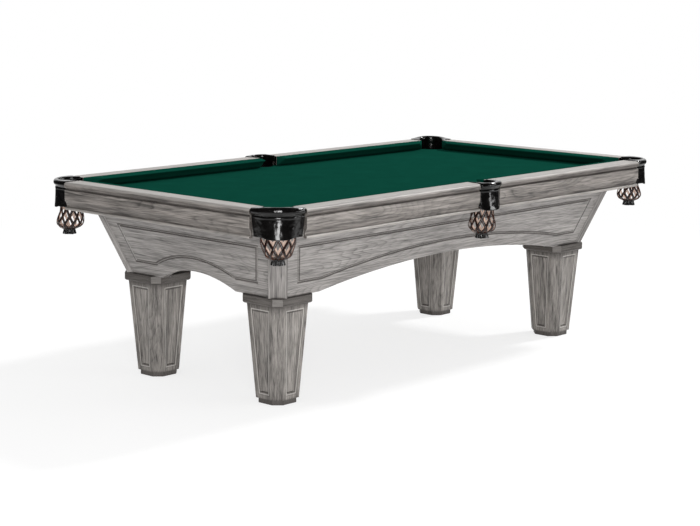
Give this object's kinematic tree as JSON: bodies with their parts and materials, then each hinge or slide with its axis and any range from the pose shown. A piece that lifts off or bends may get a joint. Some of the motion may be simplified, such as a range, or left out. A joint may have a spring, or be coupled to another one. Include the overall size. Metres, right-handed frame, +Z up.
{
  "type": "pool table",
  "caption": "Drop-pocket pool table on tapered panelled legs, with an arched, outward-leaning wood cabinet, moulded rails, green cloth bed and leather net pockets.",
  "frame": {"origin": "on the floor below the middle of the table", "axes": "+X along the length, +Y across the width, +Z up"},
  "size_m": [2.5, 1.4316, 0.8265],
  "materials": {
    "wood_rail": "satin weathered-grey stain",
    "wood_panel": "satin weathered-grey stain",
    "wood_leg": "satin weathered-grey stain",
    "wood_frame": "unfinished softwood",
    "slate": "honed slate",
    "bed_cloth": "worsted wool cloth",
    "cushion": "cloth over rubber",
    "leather": "polished",
    "net_leather": "polished outside, suede inside"
  },
  "bodies": {
    "root": {"leg_front_left": "wood_leg", "leg_front_right": "wood_leg", "leg_back_left": "wood_leg", "leg_back_right": "wood_leg", "leg_cap_front_left": "wood_leg", "leg_cap_front_right": "wood_leg", "leg_cap_back_left": "wood_leg", "leg_cap_back_right": "wood_leg", "cabinet_side_front": "wood_panel", "cabinet_side_back": "wood_panel", "cabinet_end_left": "wood_panel", "cabinet_end_right": "wood_panel", "corner_post_front_left": "wood_panel", "corner_post_front_right": "wood_panel", "corner_post_back_left": "wood_panel", "corner_post_back_right": "wood_panel", "centre_beam": "wood_frame", "cross_beam_left": "wood_frame", "cross_beam_right": "wood_frame", "slate_left": "slate", "slate_middle": "slate", "slate_right": "slate", "bed_cloth": "bed_cloth", "rail_end_left": "wood_rail", "rail_end_right": "wood_rail", "rail_front_left": "wood_rail", "rail_front_right": "wood_rail", "rail_back_left": "wood_rail", "rail_back_right": "wood_rail", "cushion_end_left": "cushion", "cushion_end_right": "cushion", "cushion_front_left": "cushion", "cushion_front_right": "cushion", "cushion_back_left": "cushion", "cushion_back_right": "cushion", "apron_end_left": "wood_rail", "apron_end_right": "wood_rail", "apron_front_left": "wood_rail", "apron_front_right": "wood_rail", "apron_back_left": "wood_rail", "apron_back_right": "wood_rail", "pocket_collar_front_left": "leather", "pocket_collar_front_right": "leather", "pocket_collar_back_left": "leather", "pocket_collar_back_right": "leather", "pocket_collar_front_middle": "leather", "pocket_collar_back_middle": "leather", "pocket_shield_front_left": "leather", "pocket_shield_front_right": "leather", "pocket_shield_back_left": "leather", "pocket_shield_back_right": "leather", "pocket_shield_front_middle": "leather", "pocket_shield_back_middle": "leather", "pocket_net_front_left": "net_leather", "pocket_net_front_right": "net_leather", "pocket_net_back_left": "net_leather", "pocket_net_back_right": "net_leather", "pocket_net_front_middle": "net_leather", "pocket_net_back_middle": "net_leather"}
  },
  "joints": []
}
